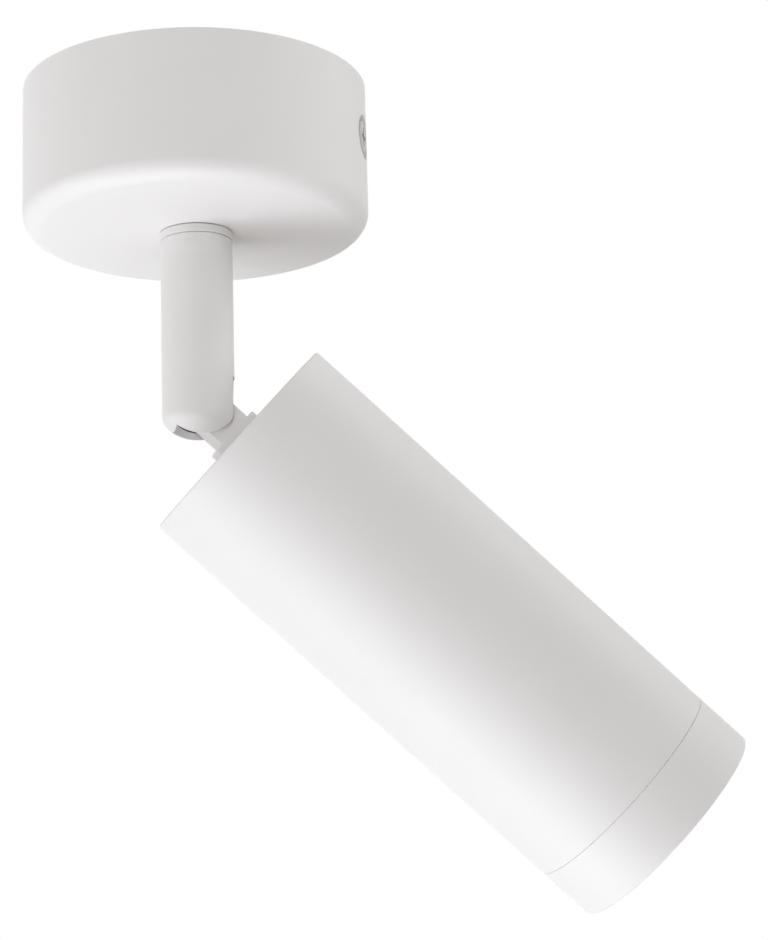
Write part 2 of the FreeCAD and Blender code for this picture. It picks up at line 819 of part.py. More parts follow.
def carrier_ground():
    """Ring tag and screw that bond the carrier, with the barrel towards the rear plate."""
    face = carrier_thickness - carrier_offset
    tag = ground_tag()
    tag.rotate(ORIGIN, X_AXIS, 90)
    tag.rotate(ORIGIN, Z_AXIS, 180)
    tag.translate(point(0, face, -ground_depth()))
    fixing = screw(ground_screw_diameter, carrier_thickness + tag_thickness,
                   ground_head_diameter, ground_head_height)
    fixing.rotate(ORIGIN, X_AXIS, -90)
    fixing.translate(point(0, face + tag_thickness, -ground_depth()))
    return tag, fixing


def ground_lead():
    """Lead from the sleeve's end to the barrel of the carrier's ring tag."""
    x, y = lead_place(1, -1)
    start = -spigot_depth - sleeve_rise
    barrel_y = carrier_thickness - carrier_offset + tag_thickness + lead_diameter / 2
    barrel_end = tag_reach - tag_barrel_length / 2 - ground_depth()
    third = (barrel_end - start) / 3
    return lead([point(x, y, start), point(x, y, start + third),
                 point(0, barrel_y, start + 2 * third), point(0, barrel_y, barrel_end)], lead_diameter)


# The lamp, which turns in its holder

def lamp_base():
    back = -lamp_back_depth
    body = upright(lamp_neck_diameter / 2, back - lamp_neck_length, back)
    return body.makeFillet(holder_face, rim_edges(body, lamp_neck_diameter / 2, back))


def lamp_pins():
    back = -lamp_back_depth
    radius = pin_spacing / 2
    tip = back + pin_length
    head = upright(pin_head_diameter / 2, tip - pin_head_length, tip, radius)
    neck = upright(pin_neck_diameter / 2, back, tip - pin_head_length, radius)
    return opposite_pair(head.fuse(neck).removeSplitter())


def lamp_housing():
    top = -lamp_back_depth - lamp_neck_length
    shoulder = top - lamp_cone_length
    face = -lamp_face_depth
    lens_radius = lamp_radius - lamp_rim_wall
    lens_seat = face + lens_recess + lens_thickness
    bowl_back = lens_seat + bowl_depth
    chip_radius = chip_diameter / 2 + press_gap
    return turned([(0, top), (lamp_neck_diameter / 2, top), (lamp_radius, shoulder),
                   (lamp_radius, face),
                   (lens_radius, face), (lens_radius, lens_seat), (lens_radius - lamp_rim_wall, lens_seat),
                   (chip_radius, bowl_back), (0, bowl_back)])


def lamp_lens():
    radius = lamp_radius - lamp_rim_wall - press_gap
    low = lens_recess - lamp_face_depth
    body = upright(radius, low, low + lens_thickness)
    return body.makeFillet(lens_thickness / 4, rim_edges(body, radius, low))


def lamp_chip():
    back = -lamp_face_depth + lens_recess + lens_thickness + bowl_depth
    return upright(chip_diameter / 2, back - chip_thickness, back)


def main():
    os.makedirs("parts", exist_ok=True)
    save("ceiling_bracket", ceiling_bracket())
    save("canopy", canopy())
    save("canopy_screws", *canopy_screws())
    save("terminal_block", terminal_block())
    save("terminal_clamps", *terminal_clamps())
    save("terminal_screws", *terminal_screws())
    save("terminal_fixing_screws", *terminal_fixing_screws())
    for number, name in enumerate(("live_lead", "earth_lead", "neutral_lead")):
        save("canopy_" + name, canopy_lead(number))
    tag, fixing = bracket_ground()
    save("bracket_ground_tag", tag)
    save("bracket_ground_screw", fixing)
    save("stem_collar", stem_collar())
    save("stop_stud", stop_stud())
    for piece in (stem, threaded_nipple, stop_washer, pan_spring_washer, pan_nut, pivot_screw,
                  pivot_washer, stem_sleeve):
        save(piece.__name__, on_stem(piece()))
    for piece in (knuckle, knuckle_washer, knuckle_nut, rear_plate, head_tube, front_ring,
                  holder_carrier, lampholder, head_sleeve, lamp_base, lamp_housing, lamp_lens, lamp_chip):
        save(piece.__name__, on_head(piece()))
    for group in (lampholder_contacts, holder_screws, lamp_pins):
        save(group.__name__, *[on_head(solid) for solid in group()])
    save("head_live_lead", on_head(head_lead(0, -1)))
    save("head_neutral_lead", on_head(head_lead(2, 1)))
    save("head_earth_lead", on_head(ground_lead()))
    tag, fixing = carrier_ground()
    save("carrier_ground_tag", on_head(tag))
    save("carrier_ground_screw", on_head(fixing))


main()
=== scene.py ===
# Surface-mounted ceiling spotlight: canopy, stem, tilting knuckle and cylinder head.
import bpy
import json
import math
from mathutils import Matrix, Vector


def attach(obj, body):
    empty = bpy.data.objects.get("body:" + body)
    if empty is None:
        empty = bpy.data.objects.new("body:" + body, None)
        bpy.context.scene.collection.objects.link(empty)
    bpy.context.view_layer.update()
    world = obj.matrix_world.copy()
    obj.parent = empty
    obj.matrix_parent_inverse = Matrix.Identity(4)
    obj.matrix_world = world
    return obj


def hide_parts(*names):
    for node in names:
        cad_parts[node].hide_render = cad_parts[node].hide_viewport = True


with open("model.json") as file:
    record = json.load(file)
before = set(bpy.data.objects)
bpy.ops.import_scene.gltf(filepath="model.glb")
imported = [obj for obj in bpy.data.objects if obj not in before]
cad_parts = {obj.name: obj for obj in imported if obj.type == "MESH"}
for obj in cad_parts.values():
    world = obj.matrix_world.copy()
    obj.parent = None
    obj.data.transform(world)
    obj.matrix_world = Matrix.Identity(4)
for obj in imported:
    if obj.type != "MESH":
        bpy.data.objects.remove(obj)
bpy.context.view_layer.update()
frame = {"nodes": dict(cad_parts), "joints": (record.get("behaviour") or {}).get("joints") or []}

# Ceiling bracket: a strap of 2 mm sheet steel, punched and folded, with two lugs for the canopy.
# It is screwed to the ceiling through two slots, and its bright zinc plate keeps it from rusting.

# Sizes of the pieces are in millimetres, and this turns them into Blender's metres.
MM = 0.001


def linear(hex_colour):
    """Linear colour of an sRGB hex value."""
    channels = [int(hex_colour[i:i + 2], 16) / 255 for i in (1, 3, 5)]
    return [c / 12.92 if c <= 0.04045 else ((c + 0.055) / 1.055) ** 2.4 for c in channels] + [1.0]


def add_node(tree, kind, settings=None, links=None):
    """Adds a node, sets its sockets or properties, and links other nodes' outputs to it."""
    node = tree.nodes.new(kind)
    for key, value in (settings or {}).items():
        if isinstance(key, int) or key in node.inputs:
            node.inputs[key].default_value = value
        else:
            setattr(node, key, value)
    for key, source in (links or {}).items():
        tree.links.new(source, node.inputs[key])
    return node


def start_material(name, **sockets):
    """A new material, its node tree and its shader with constant values set on the sockets."""
    material = bpy.data.materials.new(name)
    material.use_nodes = True
    shader = material.node_tree.nodes["Principled BSDF"]
    for socket, value in sockets.items():
        shader.inputs[socket.replace("_", " ")].default_value = value
    return material, material.node_tree, shader


def mottled_colour(tree, shader, first, second, grain_mm):
    """Base colour that drifts between two shades in patches of the given size."""
    place = add_node(tree, "ShaderNodeTexCoord")
    patches = add_node(tree, "ShaderNodeTexNoise", {"Scale": 1 / (grain_mm * MM), "Detail": 3.0},
                       {"Vector": place.outputs["Object"]})
    shades = {"data_type": "RGBA", 6: linear(first), 7: linear(second)}
    tint = add_node(tree, "ShaderNodeMix", shades, {0: patches.outputs["Fac"]})
    tree.links.new(tint.outputs[2], shader.inputs["Base Color"])
    return place


def grained_surface(tree, shader, place, grain_mm, depth_mm, roughness):
    """Fine relief and a roughness that follows it."""
    grain = add_node(tree, "ShaderNodeTexNoise", {"Scale": 1 / (grain_mm * MM), "Detail": 2.0},
                     {"Vector": place.outputs["Object"]})
    relief = add_node(tree, "ShaderNodeBump", {"Strength": 1.0, "Distance": depth_mm * MM},
                      {"Height": grain.outputs["Fac"]})
    tree.links.new(relief.outputs["Normal"], shader.inputs["Normal"])
    gloss = add_node(tree, "ShaderNodeMapRange", {"To Min": roughness[0], "To Max": roughness[1]},
                     {"Value": grain.outputs["Fac"]})
    tree.links.new(gloss.outputs["Result"], shader.inputs["Roughness"])
    return relief


def paint_nodes(material, *names):
    """Gives CAD nodes that already have their true shape their finished material."""
    for name in names:
        mesh = frame["nodes"][name].data
        mesh.materials.clear()
        mesh.materials.append(material)


# A cold grey metal with a soft sheen, faint clouds and a fine grain.
zinc, tree, shader = start_material("Zinc plated steel", Metallic=1.0)
place = mottled_colour(tree, shader, "#C3C6CA", "#A9ADB2", grain_mm=2.5)
grained_surface(tree, shader, place, grain_mm=0.35, depth_mm=0.012, roughness=(0.28, 0.42))
paint_nodes(zinc, "ceiling_bracket")

# Terminal block: three clamps in a moulded strip of natural nylon, screwed under the bracket's wing.
# The clamps are drilled brass tubes, the small screws zinc plated and the earth tags tinned copper.

# Milky cream plastic, a little waxy, with a faint moulded grain.
nylon, tree, shader = start_material("Natural nylon", IOR=1.53)
place = mottled_colour(tree, shader, "#E9E6DA", "#DFDBCC", grain_mm=6.0)
grained_surface(tree, shader, place, grain_mm=0.5, depth_mm=0.01, roughness=(0.38, 0.5))
paint_nodes(nylon, "terminal_block")

# Warm yellow metal with a dull turned sheen.
brass, tree, shader = start_material("Machined brass", Metallic=1.0)
place = mottled_colour(tree, shader, "#D2AC62", "#BB944B", grain_mm=1.5)
grained_surface(tree, shader, place, grain_mm=0.3, depth_mm=0.008, roughness=(0.25, 0.4))
paint_nodes(brass, "terminal_clamps", "lampholder_contacts")
paint_nodes(zinc, "terminal_screws", "terminal_fixing_screws", "bracket_ground_screw")

# Pale soft metal, a little warmer than the zinc.
tinned, tree, shader = start_material("Tinned copper", Metallic=1.0)
place = mottled_colour(tree, shader, "#CFCDC7", "#B9B6AE", grain_mm=1.2)
grained_surface(tree, shader, place, grain_mm=0.25, depth_mm=0.008, roughness=(0.3, 0.45))
paint_nodes(tinned, "bracket_ground_tag", "carrier_ground_tag")

# Leads: stranded copper in extruded insulation, brown, blue and green with a yellow stripe.
# They run from the terminal block through the nipple, and in the head to the lampholder.
# A braided glass sleeve guards them in the stem and in the head.


def insulation(name, first, second):
    """Extruded insulation with a soft waxy gloss and a faint grain."""
    material, tree, shader = start_material(name, IOR=1.52)
    place = mottled_colour(tree, shader, first, second, grain_mm=3.0)
    grained_surface(tree, shader, place, grain_mm=0.4, depth_mm=0.006, roughness=(0.35, 0.5))
    return material


# Plain coloured insulation, half glossy like wax.
brown = insulation("Brown insulation", "#5A3520", "#4C2B19")
blue = insulation("Blue insulation", "#2C5FA8", "#244F90")
paint_nodes(brown, "canopy_live_lead", "head_live_lead")
paint_nodes(blue, "canopy_neutral_lead", "head_neutral_lead")

# Green with slanting yellow stripes, which cover a little less than half of it.
# At scale 1 a wave node's bands are pi / 10 apart, and its diagonal ones pi / 5 along an axis.
WAVE_STEP = math.pi / 10
STRIPE_WIDTH = 3.2
YELLOW_FROM = 0.62
striped, tree, shader = start_material("Green and yellow insulation", IOR=1.52)
place = add_node(tree, "ShaderNodeTexCoord")
bands = add_node(tree, "ShaderNodeTexWave",
                 {"bands_direction": "DIAGONAL", "Scale": WAVE_STEP / (STRIPE_WIDTH * MM),
                  "Distortion": 0.4},
                 {"Vector": place.outputs["Object"]})
split = add_node(tree, "ShaderNodeValToRGB", None, {"Fac": bands.outputs["Fac"]})
split.color_ramp.interpolation = "CONSTANT"
split.color_ramp.elements[0].color = linear("#2F7A35")
split.color_ramp.elements[1].position = YELLOW_FROM
split.color_ramp.elements[1].color = linear("#E4C22B")
tree.links.new(split.outputs["Color"], shader.inputs["Base Color"])
grained_surface(tree, shader, place, grain_mm=0.4, depth_mm=0.006, roughness=(0.35, 0.5))
paint_nodes(striped, "canopy_earth_lead", "head_earth_lead")

# Off-white and matt, with the knobbly feel of a coated braid.
sleeve, tree, shader = start_material("Silicone glass sleeve", IOR=1.43)
place = mottled_colour(tree, shader, "#DEDCD4", "#CFCCC2", grain_mm=0.8)
grained_surface(tree, shader, place, grain_mm=0.5, depth_mm=0.05, roughness=(0.55, 0.7))
paint_nodes(sleeve, "stem_sleeve", "head_sleeve")

# Canopy: a cup drawn from 1.2 mm aluminium sheet, with a rounded lower edge and two pressed screw seats.
# Two side screws hold it on the bracket's lugs, and a white powder coat is baked on inside and out.
CANOPY_RADIUS = 40.9
CANOPY_HEIGHT = 35.3
CANOPY_WALL = 1.2
CANOPY_EDGE = 4.5
SEAT_RADIUS = 5.4
SEAT_DEPTH = 1.4
SEAT_DROP = 14.6
SEAT_HOLE = 2.3
SEAT_INSET = 0.1
NIPPLE_HOLE = 5.08
ROUND_STEPS = 160
SMOOTH_ANGLE = 32

# How far a tool cuts past a face, how close corners merge after a cut, and how close counts as on a face.
OVERCUT = 1.0
CUT_MERGE = 0.02
NEAR = 0.01


def powder_coat(name, first, second):
    """White powder coat: satin, very slightly uneven in tone, with a fine orange peel."""
    material, tree, shader = start_material(name, IOR=1.5)
    place = mottled_colour(tree, shader, first, second, grain_mm=14.0)
    relief = grained_surface(tree, shader, place, grain_mm=0.55, depth_mm=0.006, roughness=(0.4, 0.5))
    return material, tree, place, relief


def choose(piece, part, test):
    """Selects the faces or edges of a mesh whose corners, in mm, pass a test, and opens edit mode."""
    bpy.ops.object.mode_set(mode="OBJECT")
    mesh = piece.data
    for group in (mesh.vertices, mesh.edges, mesh.polygons):
        for item in group:
            item.select = False
    for item in (mesh.polygons if part == "FACE" else mesh.edges):
        corners = [mesh.vertices[i].co / MM for i in item.vertices]
        item.select = test(corners)
    bpy.ops.object.mode_set(mode="EDIT")
    bpy.ops.mesh.select_mode(type=part)


def round_edges(piece, width, segments, test):
    """Rounds the edges that pass a test by a width in mm."""
    choose(piece, "EDGE", test)
    bpy.ops.mesh.bevel(offset=width * MM, segments=segments, affect="EDGES")
    bpy.ops.object.mode_set(mode="OBJECT")


def apply_modifier(piece, kind, **settings):
    """Adds a modifier to a piece and applies it."""
    bpy.ops.object.mode_set(mode="OBJECT")
    bpy.ops.object.select_all(action="DESELECT")
    bpy.context.view_layer.objects.active = piece
    piece.select_set(True)
    modifier = piece.modifiers.new(kind.lower(), kind)
    for key, value in settings.items():
        setattr(modifier, key, value)
    bpy.ops.object.modifier_apply(modifier=modifier.name)


def new_rod(radius, low, high, place=Matrix(), steps=96):
    """A solid rod along Z between two heights in mm, then turned and moved by a matrix."""
    bpy.ops.object.select_all(action="DESELECT")
    bpy.ops.mesh.primitive_cylinder_add(vertices=steps, radius=radius * MM, depth=(high - low) * MM)
    piece = bpy.context.object
    piece.matrix_world = place @ Matrix.Translation((0, 0, (low + high) / 2 * MM))
    bpy.ops.object.transform_apply()
    return piece


def new_block(x, y, z, place=Matrix()):
    """A solid block between pairs of limits in mm."""
    bpy.ops.object.select_all(action="DESELECT")
    bpy.ops.mesh.primitive_cube_add(size=MM)
    piece = bpy.context.object
    size = Matrix.Diagonal((x[1] - x[0], y[1] - y[0], z[1] - z[0], 1.0))
    centre = Vector((sum(x), sum(y), sum(z))) / 2 * MM
    piece.matrix_world = place @ Matrix.Translation(centre) @ size
    bpy.ops.object.transform_apply()
    return piece


def clean_up(piece, gap):
    """Merges corners closer than a gap in mm, drops slivers and turns all faces outward."""
    bpy.ops.object.mode_set(mode="OBJECT")
    bpy.ops.object.select_all(action="DESELECT")
    bpy.context.view_layer.objects.active = piece
    piece.select_set(True)
    bpy.ops.object.mode_set(mode="EDIT")
    bpy.ops.mesh.select_all(action="SELECT")
    bpy.ops.mesh.remove_doubles(threshold=gap * MM)
    bpy.ops.mesh.dissolve_degenerate(threshold=gap * MM)
    bpy.ops.mesh.delete_loose()
    bpy.ops.mesh.select_all(action="SELECT")
    bpy.ops.mesh.normals_make_consistent(inside=False)
    bpy.ops.object.mode_set(mode="OBJECT")


def combine(piece, tools, operation):
    """Joins tools to a piece or cuts them out of it, and clears the tools away."""
    for tool in tools:
        apply_modifier(piece, "BOOLEAN", operation=operation, object=tool, solver="EXACT")
        bpy.data.objects.remove(tool)
    clean_up(piece, CUT_MERGE)


def hand_over(piece, name, material, body, nodes, place=Matrix()):
    """Sets a finished mesh in its place, finishes its surface and fixes it to its body."""
    bpy.ops.object.mode_set(mode="OBJECT")
    bpy.ops.object.select_all(action="DESELECT")
    bpy.context.view_layer.objects.active = piece
    piece.select_set(True)
    piece.name = name
    piece.matrix_world = place
    bpy.ops.object.transform_apply()
    bpy.ops.object.shade_smooth_by_angle(angle=math.radians(SMOOTH_ANGLE))
    apply_modifier(piece, "WEIGHTED_NORMAL", keep_sharp=True, weight=80)
    piece.data.materials.clear()
    piece.data.materials.append(material)
    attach(piece, body)
    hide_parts(*nodes)


# A satin white with a very fine orange peel, a shade lighter than the coat on the rest: painted light
# that brightens the whole canopy.
brightened_canopy_coat = powder_coat("White powder coat on the canopy", "#F5F3F3", "#F2F0F0")[0]
side_axis = Matrix.Translation((0, 0, -SEAT_DROP * MM)) @ Matrix.Rotation(math.radians(90), 4, "Y")
other_side = Matrix.Rotation(math.pi, 4, "Z")

canopy = new_rod(CANOPY_RADIUS, -CANOPY_HEIGHT, 0, steps=ROUND_STEPS)
choose(canopy, "FACE", lambda corners: all(c.z > -NEAR for c in corners))
bpy.ops.mesh.delete(type="FACE")
round_edges(canopy, CANOPY_EDGE, segments=10,
            test=lambda corners: all(c.z < NEAR - CANOPY_HEIGHT for c in corners))
apply_modifier(canopy, "SOLIDIFY", thickness=CANOPY_WALL * MM, offset=-1.0, use_even_offset=True)
seat_face = CANOPY_RADIUS - SEAT_DEPTH
seat_back = seat_face - CANOPY_WALL
dish_radius = SEAT_RADIUS + CANOPY_WALL
dish_rim = math.sqrt(CANOPY_RADIUS ** 2 - dish_radius ** 2) - SEAT_INSET
dishes = []
wells = [new_rod(NIPPLE_HOLE, -CANOPY_HEIGHT - OVERCUT, OVERCUT - CANOPY_HEIGHT + CANOPY_WALL)]
for side in (side_axis, other_side @ side_axis):
    dishes.append(new_rod(dish_radius, seat_back, dish_rim, side))
    wells.append(new_rod(SEAT_RADIUS, seat_face, CANOPY_RADIUS + OVERCUT, side))
    wells.append(new_rod(SEAT_HOLE, seat_back - OVERCUT, CANOPY_RADIUS + OVERCUT, side))
combine(canopy, dishes, "UNION")
combine(canopy, wells, "DIFFERENCE")
hand_over(canopy, "canopy_cup", brightened_canopy_coat, "ceiling_base", ["canopy"])

# Side screws: two low-headed steel screws with a cross recess, painted white.
# They hold the canopy on the bracket's lugs, and their heads sit in the pressed seats.
SIDE_HEAD_RADIUS = 4.0
SIDE_HEAD_HEIGHT = 1.3
SIDE_SHANK_RADIUS = 2.0
SIDE_SHANK_LENGTH = 9.0
CROSS_WIDTH = 1.1
CROSS_REACH = 2.4
CROSS_DEPTH = 0.8
HEAD_ROUNDING_SHARE = 0.4
SHANK_OVERLAP = 0.2


def cross_screw(head_radius, head_height, shank_radius, shank_length, place):
    """A cross-recessed screw with the underside of its head at the origin of its place."""
    screw = new_rod(head_radius, 0, head_height, steps=64)
    round_edges(screw, head_height * HEAD_ROUNDING_SHARE, segments=4,
                test=lambda corners: all(c.z > head_height - NEAR for c in corners))
    shank = new_rod(shank_radius, -shank_length, SHANK_OVERLAP, steps=48)
    reach = (-CROSS_REACH, CROSS_REACH)
    width = (-CROSS_WIDTH / 2, CROSS_WIDTH / 2)
    depth = (head_height - CROSS_DEPTH, head_height + OVERCUT)
    combine(screw, [shank], "UNION")
    combine(screw, [new_block(reach, width, depth), new_block(width, reach, depth)], "DIFFERENCE")
    screw.matrix_world = place
    bpy.ops.object.select_all(action="DESELECT")
    screw.select_set(True)
    bpy.ops.object.transform_apply()
    return screw


# The canopy's white, darkened to a pale grey.
screw_coat = powder_coat("White screw paint", "#D2D0CE", "#C6C4C2")[0]
seat_place = side_axis @ Matrix.Translation((0, 0, seat_face * MM))
side_screws = cross_screw(SIDE_HEAD_RADIUS, SIDE_HEAD_HEIGHT, SIDE_SHANK_RADIUS, SIDE_SHANK_LENGTH,
                          seat_place)

# The second screw is a copy of the first, turned round to the other side.
bpy.context.view_layer.objects.active = side_screws
bpy.ops.object.duplicate()
bpy.context.object.matrix_world = other_side
bpy.ops.object.transform_apply()
side_screws.select_set(True)
bpy.context.view_layer.objects.active = side_screws
bpy.ops.object.join()
hand_over(side_screws, "canopy_side_screws", screw_coat, "ceiling_base",
          ["canopy_screws"])

# Swivel fittings inside the canopy: threaded nipple, nut, spring washer, stop washer and its stud.
# All are turned or stamped steel, zinc plated, and clamp the stem so that it turns with some friction.
paint_nodes(zinc, "threaded_nipple", "pan_nut", "pan_spring_washer", "stop_washer", "stop_stud")

# Collar: a thin ring moulded in white nylon, clamped between the canopy and the stem that turns on it.
# It is as white as the head, and a hair of shadow shows above and below it.
COLLAR_RADIUS = 8.65
COLLAR_HEIGHT = 2.3
COLLAR_BORE = 5.08
COLLAR_ROUNDING = 0.22
COLLAR_SHADOW_GAP = 0.16
RIM_MERGE = 0.001
BEVEL_MERGE = 0.002
SHARP_ANGLE = 35


def turn_piece(outline, steps=ROUND_STEPS, capped=False):
    """Draws a round piece: a circle, then an extruded rim for each (radius, height) in mm."""
    bpy.ops.object.select_all(action="DESELECT")
    radius, height = outline[0]
    bpy.ops.mesh.primitive_circle_add(vertices=steps, radius=radius * MM, location=(0, 0, height * MM))
    piece = bpy.context.object
    bpy.ops.object.transform_apply()
    bpy.ops.object.mode_set(mode="EDIT")
    bpy.ops.mesh.select_all(action="SELECT")
    rims = outline if capped else outline + outline[:1]
    for (old_radius, old_height), (new_radius, new_height) in zip(rims, rims[1:]):
        rise = (0, 0, (new_height - old_height) * MM)
        bpy.ops.mesh.extrude_edges_move(TRANSFORM_OT_translate={"value": rise})
        ratio = new_radius / old_radius
        bpy.ops.transform.resize(value=(ratio, ratio, 1), center_override=(0, 0, new_height * MM))
    bpy.ops.mesh.select_all(action="SELECT")
    bpy.ops.mesh.remove_doubles(threshold=RIM_MERGE * MM)
    if capped:
        bpy.ops.mesh.fill_holes(sides=0)
    bpy.ops.mesh.select_all(action="SELECT")
    bpy.ops.mesh.normals_make_consistent(inside=False)
    bpy.ops.object.mode_set(mode="OBJECT")
    return piece


def soften(piece, width, segments=3):
    """Rounds the sharp edges of a piece by a small width in mm."""
    apply_modifier(piece, "BEVEL", width=width * MM, segments=segments, limit_method="ANGLE",
                   angle_limit=math.radians(SHARP_ANGLE))
    clean_up(piece, BEVEL_MERGE)


# The white of the collar, the knuckle and the head: satin, with a slow drift in tone and a fine peel.
powder = powder_coat("White powder coat", "#F0EEEE", "#ECEAEA")[0]
collar_top = -CANOPY_HEIGHT - COLLAR_SHADOW_GAP
collar_low = -CANOPY_HEIGHT - COLLAR_HEIGHT + COLLAR_SHADOW_GAP
collar = turn_piece([(COLLAR_BORE, collar_top), (COLLAR_RADIUS, collar_top),
                     (COLLAR_RADIUS, collar_low), (COLLAR_BORE, collar_low)])
soften(collar, COLLAR_ROUNDING)
hand_over(collar, "stem_collar_ring", powder, "ceiling_base", ["stem_collar"])

# Stem: a turned aluminium rod with a domed end, bored for the leads and slotted for the knuckle.
# The slot is open below and up one side, and the pivot screw comes in from the far cheek.
STEM_RADIUS = 8.5
STEM_TOP = -CANOPY_HEIGHT - COLLAR_HEIGHT
STEM_BORE = 5.05
STEM_BORE_DEPTH = 12.0
LEAD_BORE = 2.2
END_DROP = 8.5
DOME_RADIUS = 11.2
END_ROUNDING = 3.5
CORNER_STEPS = 3
DOME_STEPS = 6
STEM_STEPS = 36
SLOT_HALF = 3.5
SLOT_ROUND = 5.8
SLOT_TOP = 5.95
PIVOT_WELL_RADIUS = 3.6
PIVOT_SEAT = 5.5
MOUTH_ROUNDING = 0.7
TOOL_REACH = 20.0
FACET_PLAY = 0.1

joints = {joint["name"]: joint for joint in frame["joints"]}
pivot = Vector(joints["tilt"]["pos_m"])
head_axis = Vector(joints["lamp_twist"]["axis"])
pan = math.atan2(head_axis.y, head_axis.x)
tilt = math.acos(-head_axis.z)
stem_place = Matrix.Rotation(pan, 4, "Z")
across = Matrix.Translation(pivot) @ Matrix.Rotation(math.radians(-90), 4, "X")
pivot_height = pivot.z / MM

dome_centre = pivot_height - END_DROP + DOME_RADIUS
corner_arm = DOME_RADIUS - END_ROUNDING
corner_place = STEM_RADIUS - END_ROUNDING
lean = math.asin(corner_place / corner_arm)
corner_centre = dome_centre - corner_arm * math.cos(lean)
outline = [(STEM_RADIUS, STEM_TOP)]
for step in range(CORNER_STEPS + 1):
    turn = math.radians(90) + (lean - math.radians(90)) * step / CORNER_STEPS
    radius = corner_place + END_ROUNDING * math.sin(turn)
    outline.append((radius, corner_centre - END_ROUNDING * math.cos(turn)))
for step in range(1, DOME_STEPS):
    turn = lean * (1 - step / DOME_STEPS)
    outline.append((DOME_RADIUS * math.sin(turn), dome_centre - DOME_RADIUS * math.cos(turn)))
stem = turn_piece(outline, STEM_STEPS, capped=True)
slot_width = (-SLOT_HALF, SLOT_HALF)
slot_low = pivot_height - TOOL_REACH
slot = new_rod(SLOT_ROUND, -SLOT_HALF, SLOT_HALF, across)
combine(slot, [new_block((-SLOT_ROUND, TOOL_REACH), slot_width, (slot_low, pivot_height)),
               new_block((0, TOOL_REACH), slot_width, (slot_low, pivot_height + SLOT_TOP))], "UNION")
combine(stem, [slot, new_rod(PIVOT_WELL_RADIUS, PIVOT_SEAT, TOOL_REACH, across),
               new_rod(STEM_BORE, STEM_TOP - STEM_BORE_DEPTH, STEM_TOP + OVERCUT),
               new_rod(LEAD_BORE, pivot_height, STEM_TOP + OVERCUT)], "DIFFERENCE")


def at_mouth(corners):
    """True for an upright edge where a cheek of the slot meets the stem's outer surface."""
    on_cheek = all(abs(abs(c.y) - SLOT_HALF) < NEAR for c in corners)
    outside = all(math.hypot(c.x, c.y) > STEM_RADIUS - FACET_PLAY for c in corners)
    return on_cheek and outside and all(c.z > corner_centre - NEAR for c in corners)


round_edges(stem, MOUTH_ROUNDING, segments=4, test=at_mouth)
clean_up(stem, BEVEL_MERGE)

# Powder coat over turned metal: faint broken rings show under the collar and die out lower down, bumped
# and also painted a lighter white as a painted highlight.
# Real feed lines are about 0.15 mm apart and too fine to show, so they are drawn at 0.6 mm.
FEED_LINE = 0.6
FEED_DEPTH = 0.03
FEED_REACH = 6.0
FEED_BREAK = 5.0
BROKEN_BELOW = 0.4
WHOLE_ABOVE = 0.6
turned_coat, tree, place, relief = powder_coat("White powder coat on turned metal", "#EFEEED", "#EBEAE9")
rings = add_node(tree, "ShaderNodeTexWave",
                 {"bands_direction": "Z", "Scale": WAVE_STEP / (FEED_LINE * MM), "Distortion": 0.8},
                 {"Vector": place.outputs["Object"]})
spot = add_node(tree, "ShaderNodeSeparateXYZ", None, {"Vector": place.outputs["Object"]})
fade = add_node(tree, "ShaderNodeMapRange",
                {"From Min": (STEM_TOP - FEED_REACH) * MM, "From Max": STEM_TOP * MM},
                {"Value": spot.outputs["Z"]})
gaps = add_node(tree, "ShaderNodeTexNoise", {"Scale": 1 / (FEED_BREAK * MM)},
                {"Vector": place.outputs["Object"]})
patchy = add_node(tree, "ShaderNodeMapRange", {"From Min": BROKEN_BELOW, "From Max": WHOLE_ABOVE},
                  {"Value": gaps.outputs["Fac"]})
shown_part = add_node(tree, "ShaderNodeMath", {"operation": "MULTIPLY"},
                      {0: fade.outputs["Result"], 1: patchy.outputs["Result"]})
lines = add_node(tree, "ShaderNodeMath", {"operation": "MULTIPLY"},
                 {0: rings.outputs["Fac"], 1: shown_part.outputs["Value"]})
turning = add_node(tree, "ShaderNodeBump", {"Strength": 1.0, "Distance": FEED_DEPTH * MM},
                   {"Height": lines.outputs["Value"], "Normal": relief.outputs["Normal"]})
shader = tree.nodes["Principled BSDF"]
tree.links.new(turning.outputs["Normal"], shader.inputs["Normal"])
coat = shader.inputs["Base Color"].links[0].from_socket
# The rings' lighter white is a painted highlight, and it lifts the top of the stem in the canopy's shade.
ring_highlight_mix = add_node(tree, "ShaderNodeMix", {"data_type": "RGBA", 7: linear("#FAF9F8")},
                 {0: lines.outputs["Value"], 6: coat})

# Round the pivot, the slot's cheeks and the stem between them are painted dark grey: painted shade deep
# inside the slot.
SLOT_SHADE_RADIUS = 6.3
SLOT_SHADE_EDGE = 0.15
CHEEK_PLAY = 0.05
hinge_place = add_node(tree, "ShaderNodeMapping",
                       {"Rotation": (0, 0, -pan), "Location": (0, 0, -pivot.z)},
                       {"Vector": place.outputs["Object"]})
in_plane = add_node(tree, "ShaderNodeVectorMath", {"operation": "MULTIPLY", 1: (1, 0, 1)},
                    {0: hinge_place.outputs["Vector"]})
reach = add_node(tree, "ShaderNodeVectorMath", {"operation": "LENGTH"}, {0: in_plane.outputs["Vector"]})
shade_disc = add_node(tree, "ShaderNodeMapRange",
                  {"From Min": SLOT_SHADE_RADIUS * MM, "From Max": (SLOT_SHADE_RADIUS - SLOT_SHADE_EDGE) * MM},
                  {"Value": reach.outputs["Value"]})
depth = add_node(tree, "ShaderNodeSeparateXYZ", None, {"Vector": hinge_place.outputs["Vector"]})
inside = add_node(tree, "ShaderNodeMath",
                  {"operation": "COMPARE", 1: 0.0, 2: (SLOT_HALF + CHEEK_PLAY) * MM},
                  {0: depth.outputs["Y"]})
